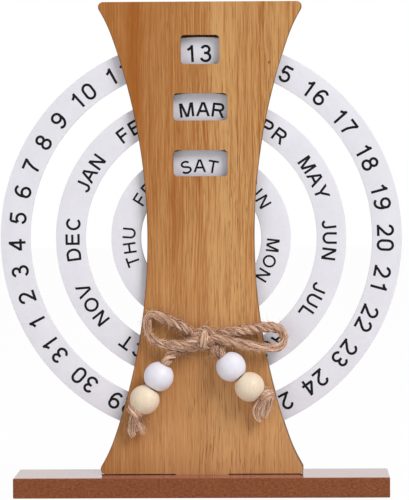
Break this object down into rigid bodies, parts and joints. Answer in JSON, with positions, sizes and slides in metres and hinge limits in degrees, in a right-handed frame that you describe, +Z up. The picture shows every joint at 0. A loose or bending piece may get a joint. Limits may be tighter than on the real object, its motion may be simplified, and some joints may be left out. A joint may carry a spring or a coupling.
{
  "type": "perpetual desk calendar",
  "caption": "Perpetual desk calendar: printed date, month and weekday rings turn between two waisted wooden boards on a base, with a twine bow and beads.",
  "frame": {"origin": "on the table, under the middle of the base board", "axes": "+Z up along the boards, -Y towards the reader, +X to the reader's right; the rings turn about the Y direction through (0, 0, 0.1023)"},
  "size_m": [0.16, 0.04, 0.1963],
  "materials": {
    "board_wood": "straight-grained oiled pine, laser-cut edges browned",
    "spacer_wood": "bare thin board",
    "base_lacquer": "brown film with a glossy top and a speckled front edge",
    "ring_paint": "thin board printed white with plain black numbers and day and month names",
    "twine": "three-ply jute, fuzzy",
    "bead_paint": "white painted turned wood",
    "bead_wood": "bare turned wood"
  },
  "bodies": {
    "stand": {"base_board": "base_lacquer", "front_panel": "board_wood", "back_panel": "board_wood", "hub_spacer": "spacer_wood", "upper_inner_guide": "spacer_wood", "upper_outer_guide": "spacer_wood", "lower_inner_guide": "spacer_wood", "lower_outer_guide": "spacer_wood", "top_spacer": "spacer_wood", "foot_spacer": "spacer_wood", "bow_knot": "twine", "bow_loop_left": "twine", "bow_loop_right": "twine", "bow_tail_left": "twine", "bow_tail_right": "twine", "end_knot_left": "twine", "end_knot_right": "twine", "frayed_end_left": "twine", "frayed_end_right": "twine"},
    "date_ring": {"date_ring": "ring_paint"},
    "month_ring": {"month_ring": "ring_paint"},
    "weekday_ring": {"weekday_ring": "ring_paint"},
    "white_bead_left": {"white_bead_left": "bead_paint"},
    "natural_bead_left": {"natural_bead_left": "bead_wood"},
    "white_bead_right": {"white_bead_right": "bead_paint"},
    "natural_bead_right": {"natural_bead_right": "bead_wood"}
  },
  "joints": [
    {"name": "date_ring_turn", "type": "hinge", "parent": "stand", "child": "date_ring", "pos_m": [0, 0, 0.1023], "axis": [0, 1, 0], "continuous": true},
    {"name": "month_ring_turn", "type": "hinge", "parent": "stand", "child": "month_ring", "pos_m": [0, 0, 0.1023], "axis": [0, 1, 0], "continuous": true},
    {"name": "weekday_ring_turn", "type": "hinge", "parent": "stand", "child": "weekday_ring", "pos_m": [0, 0, 0.1023], "axis": [0, 1, 0], "continuous": true},
    {"name": "white_bead_left_spin", "type": "hinge", "parent": "stand", "child": "white_bead_left", "pos_m": [-0.0169, -0.0111, 0.0476], "axis": [-0.4848, 0, -0.8746], "continuous": true},
    {"name": "natural_bead_left_spin", "type": "hinge", "parent": "stand", "child": "natural_bead_left", "pos_m": [-0.0225, -0.0111, 0.03847], "axis": [-0.5592, 0, -0.829], "continuous": true},
    {"name": "white_bead_right_spin", "type": "hinge", "parent": "stand", "child": "white_bead_right", "pos_m": [0.0118, -0.0111, 0.0514], "axis": [0.6157, 0, -0.788], "continuous": true},
    {"name": "natural_bead_right_spin", "type": "hinge", "parent": "stand", "child": "natural_bead_right", "pos_m": [0.01916, -0.0111, 0.04337], "axis": [0.7314, 0, -0.682], "continuous": true}
  ]
}
